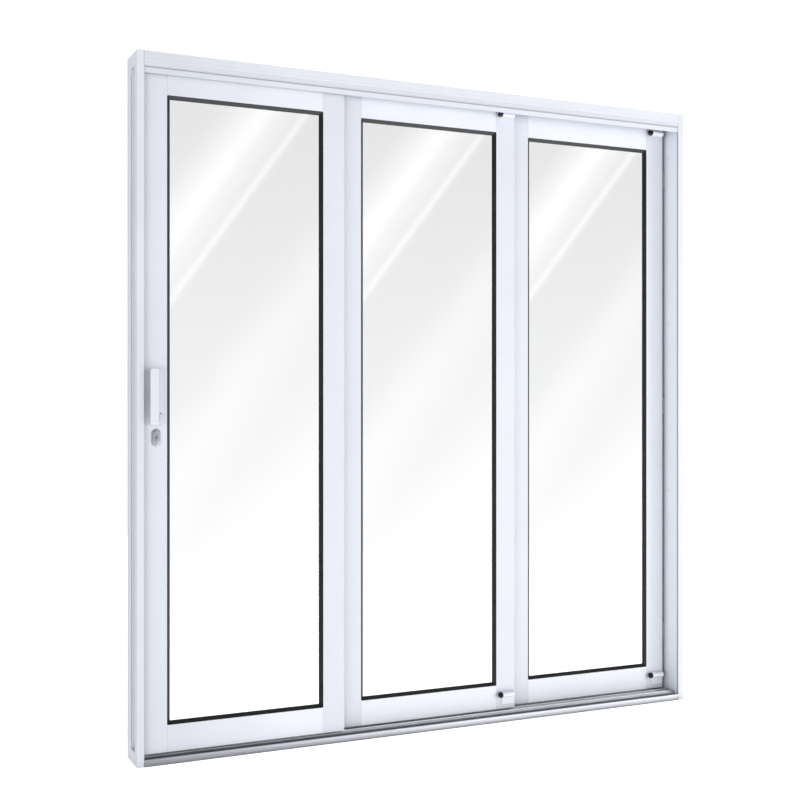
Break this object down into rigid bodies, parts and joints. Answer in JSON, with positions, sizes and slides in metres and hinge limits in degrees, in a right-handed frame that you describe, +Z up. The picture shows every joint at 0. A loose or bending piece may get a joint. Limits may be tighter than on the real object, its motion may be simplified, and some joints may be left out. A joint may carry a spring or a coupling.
{
  "type": "three-leaf sliding patio door",
  "caption": "White aluminium sliding patio door: glazed leaves on parallel tracks slide behind one another towards the fixed leaf.",
  "frame": {"origin": "middle of the sill's underside, under the middle of the frame's depth", "axes": "+X along the door to the right as seen from outside, +Y inwards from the outside face, +Z up"},
  "size_m": [1.972, 0.146, 2.1],
  "materials": {
    "white_aluminium": "white powder coat, satin",
    "anodised_aluminium": "natural anodised",
    "glass": "clear, polished",
    "gasket_rubber": "matt black",
    "bumper_rubber": "matt black",
    "nylon": "natural, matt",
    "zinc_steel": "zinc plated",
    "satin_metal": "satin"
  },
  "bodies": {
    "frame": {"head": "white_aluminium", "sill": "anodised_aluminium", "left_jamb": "white_aluminium", "right_jamb": "white_aluminium", "jamb_corner_blocks": "white_aluminium", "lock_keeper": "satin_metal", "right_leaf_left_stile": "white_aluminium", "right_leaf_right_stile": "white_aluminium", "right_leaf_top_rail": "white_aluminium", "right_leaf_bottom_rail": "white_aluminium", "right_leaf_glass": "glass", "right_leaf_gasket": "gasket_rubber", "right_leaf_guides": "nylon", "right_leaf_interlock": "white_aluminium", "right_leaf_stops": "white_aluminium", "right_leaf_bumpers": "bumper_rubber", "fixed_leaf_setting_blocks": "nylon", "fixed_leaf_spacers": "nylon"},
    "middle_leaf": {"middle_leaf_left_stile": "white_aluminium", "middle_leaf_right_stile": "white_aluminium", "middle_leaf_top_rail": "white_aluminium", "middle_leaf_bottom_rail": "white_aluminium", "middle_leaf_glass": "glass", "middle_leaf_gasket": "gasket_rubber", "middle_leaf_guides": "nylon", "middle_leaf_interlock": "white_aluminium", "middle_leaf_stops": "white_aluminium", "middle_leaf_bumpers": "bumper_rubber", "middle_leaf_rollers": "zinc_steel"},
    "left_leaf": {"left_leaf_left_stile": "white_aluminium", "left_leaf_right_stile": "white_aluminium", "left_leaf_top_rail": "white_aluminium", "left_leaf_bottom_rail": "white_aluminium", "left_leaf_glass": "glass", "left_leaf_gasket": "gasket_rubber", "left_leaf_guides": "nylon", "left_leaf_rollers": "zinc_steel", "pull_handle": "white_aluminium", "lock_escutcheon": "satin_metal", "lock_cylinder": "satin_metal", "lock_case": "zinc_steel", "inner_flush_pull": "satin_metal"},
    "key_plug": {"key_plug": "satin_metal"}
  },
  "joints": [
    {"name": "middle_leaf_slide", "type": "slide", "parent": "frame", "child": "middle_leaf", "axis": [1, 0, 0], "range_m": [0, 0.566]},
    {"name": "left_leaf_slide", "type": "slide", "parent": "middle_leaf", "child": "left_leaf", "axis": [1, 0, 0], "range_m": [0, 0.566]},
    {"name": "key_plug_turn", "type": "hinge", "parent": "left_leaf", "child": "key_plug", "pos_m": [-0.9254, -0.045, 0.9646], "axis": [0, -1, 0], "range_deg": [0, 90]}
  ]
}
